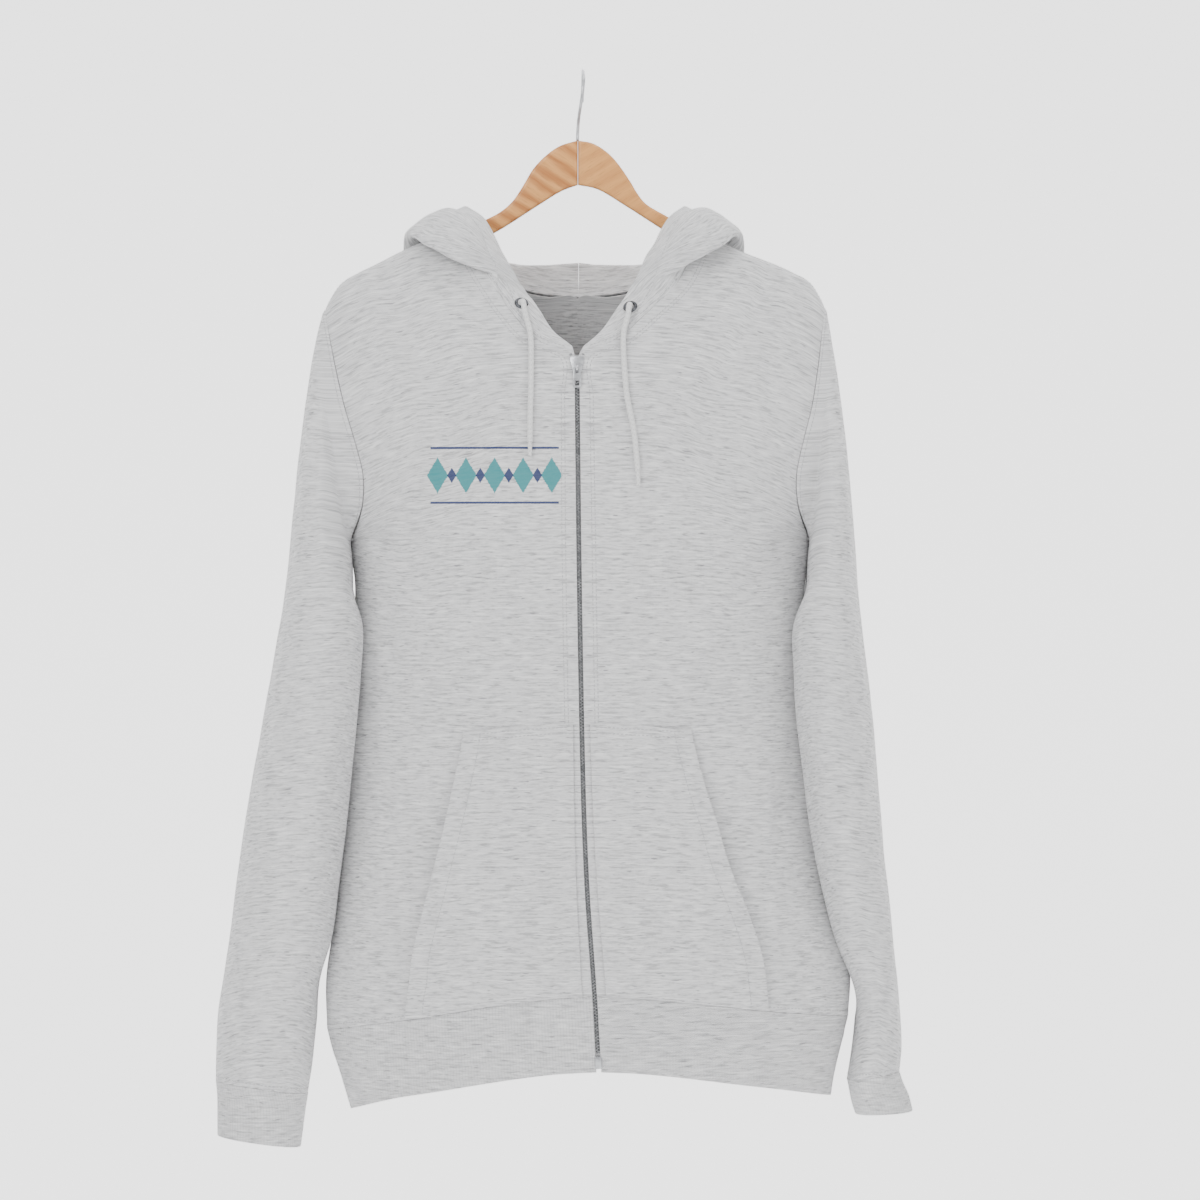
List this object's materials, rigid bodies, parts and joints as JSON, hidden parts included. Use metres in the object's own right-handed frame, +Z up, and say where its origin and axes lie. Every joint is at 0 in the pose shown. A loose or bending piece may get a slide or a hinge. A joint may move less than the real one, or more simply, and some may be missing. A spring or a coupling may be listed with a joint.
{
  "type": "zip-up hoodie on a wooden hanger",
  "caption": "Hooded sweatshirt with a full front zip, pouch pockets, rib hem and cuffs, hood down, hung flat on a wooden hanger with a wire hook.",
  "frame": {"origin": "the inside top of the hook, where it rests on a rail", "axes": "+Z up, the garment's front faces -Y, the wearer's right is at -X"},
  "size_m": [0.593, 0.2482, 0.9167],
  "materials": {
    "heather_cloth": "light heather sweatshirt knit",
    "rib_knit": "light heather rib knit",
    "zip_tape": "woven tape",
    "dark_metal": "dark nickel",
    "bright_metal": "bright nickel",
    "drawcord": "braided cotton",
    "hanger_wood": "clear satin lacquer"
  },
  "bodies": {
    "garment": {"front_right": "heather_cloth", "front_left": "heather_cloth", "back": "heather_cloth", "hem_band": "rib_knit", "pocket_right": "heather_cloth", "pocket_left": "heather_cloth", "sleeve_right": "heather_cloth", "sleeve_left": "heather_cloth", "cuff_right": "rib_knit", "cuff_left": "rib_knit", "hood_right": "heather_cloth", "hood_left": "heather_cloth", "zip_chain": "dark_metal", "zip_tape_right": "zip_tape", "zip_tape_left": "zip_tape", "zip_slider": "bright_metal", "zip_stop_right": "dark_metal", "zip_stop_left": "dark_metal", "zip_end_box": "bright_metal", "eyelet_right": "dark_metal", "eyelet_left": "dark_metal", "cord_right": "drawcord", "cord_left": "drawcord", "cord_tip_right": "drawcord", "cord_tip_left": "drawcord", "hanger_right": "hanger_wood", "hanger_left": "hanger_wood", "hanger_hook": "bright_metal"},
    "pull_tab": {"zip_pull": "bright_metal"}
  },
  "joints": [
    {"name": "pull_tab_hinge", "type": "hinge", "parent": "garment", "child": "pull_tab", "pos_m": [-0.00486, -0.07654, -0.25494], "axis": [-0.9999, -0.0019, -0.0108], "range_deg": [0, 150]}
  ]
}
